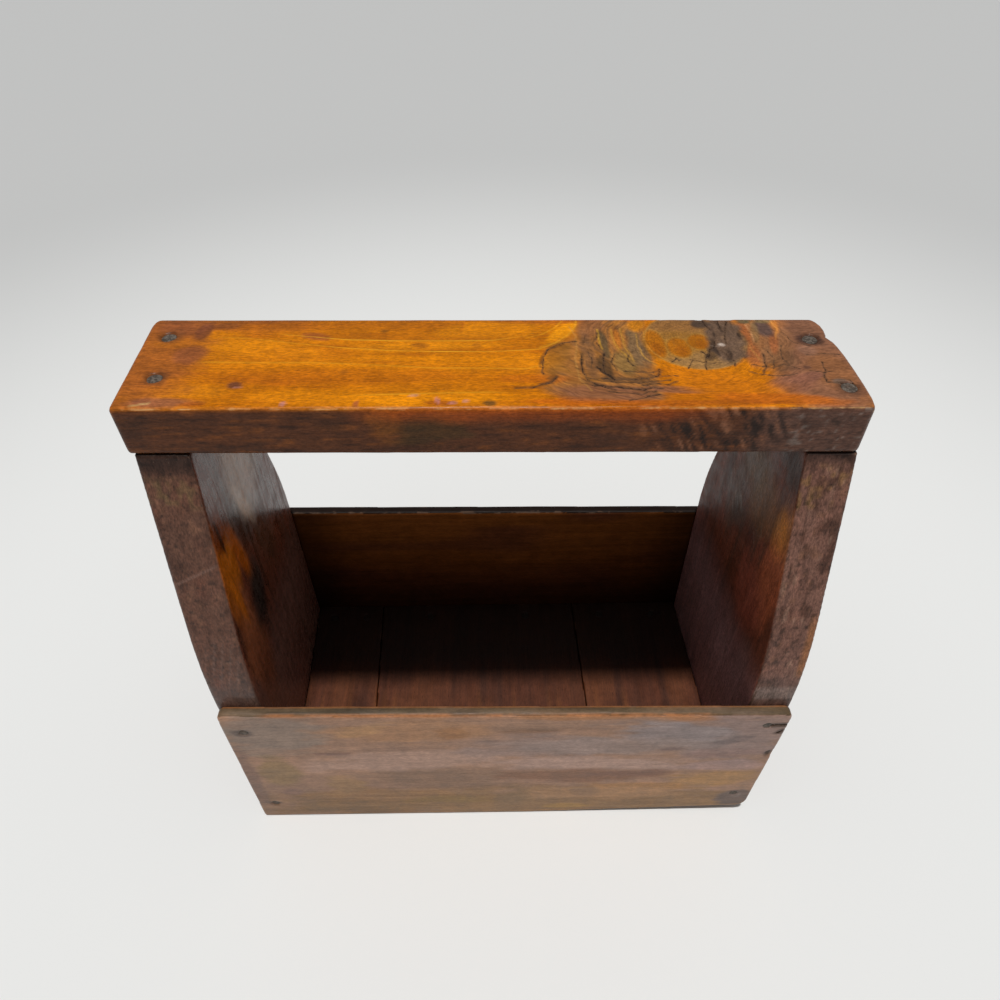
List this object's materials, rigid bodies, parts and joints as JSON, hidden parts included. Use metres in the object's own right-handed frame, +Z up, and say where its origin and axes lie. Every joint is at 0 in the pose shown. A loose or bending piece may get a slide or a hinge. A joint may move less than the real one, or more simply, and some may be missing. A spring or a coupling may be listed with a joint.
{
  "type": "wooden tool tote",
  "caption": "Hand-made open wooden tool tote: tapered end boards carry a flat nailed handle board over a box with thin nailed sides and a raised floor.",
  "frame": {"origin": "On the surface that the tote stands on, under the middle of its bounding box and of the handle board.", "axes": "+X along the handle board to the right-hand end as seen from the front board, +Y to the back board, +Z up."},
  "size_m": [0.3076, 0.142, 0.2894],
  "materials": {
    "handle_wood": "glossy amber varnish, worn",
    "end_wood": "dark glossy varnish, rubbed edges",
    "side_wood": "brown glossy varnish",
    "floor_wood": "red-brown satin varnish",
    "bearer_wood": "plain aged wood",
    "nail_iron": "dark rusted iron"
  },
  "bodies": {
    "root": {"handle_board": "handle_wood", "left_end_board": "end_wood", "right_end_board": "end_wood", "front_board": "side_wood", "back_board": "side_wood", "left_floor_board": "floor_wood", "middle_floor_board": "floor_wood", "right_floor_board": "floor_wood", "front_bearer": "bearer_wood", "back_bearer": "bearer_wood", "left_handle_nails": "nail_iron", "right_handle_nails": "nail_iron", "left_front_nails": "nail_iron", "right_front_nails": "nail_iron", "left_back_nails": "nail_iron", "right_back_nails": "nail_iron", "left_bearer_nails": "nail_iron", "right_bearer_nails": "nail_iron", "front_floor_nails": "nail_iron", "back_floor_nails": "nail_iron"}
  },
  "joints": []
}
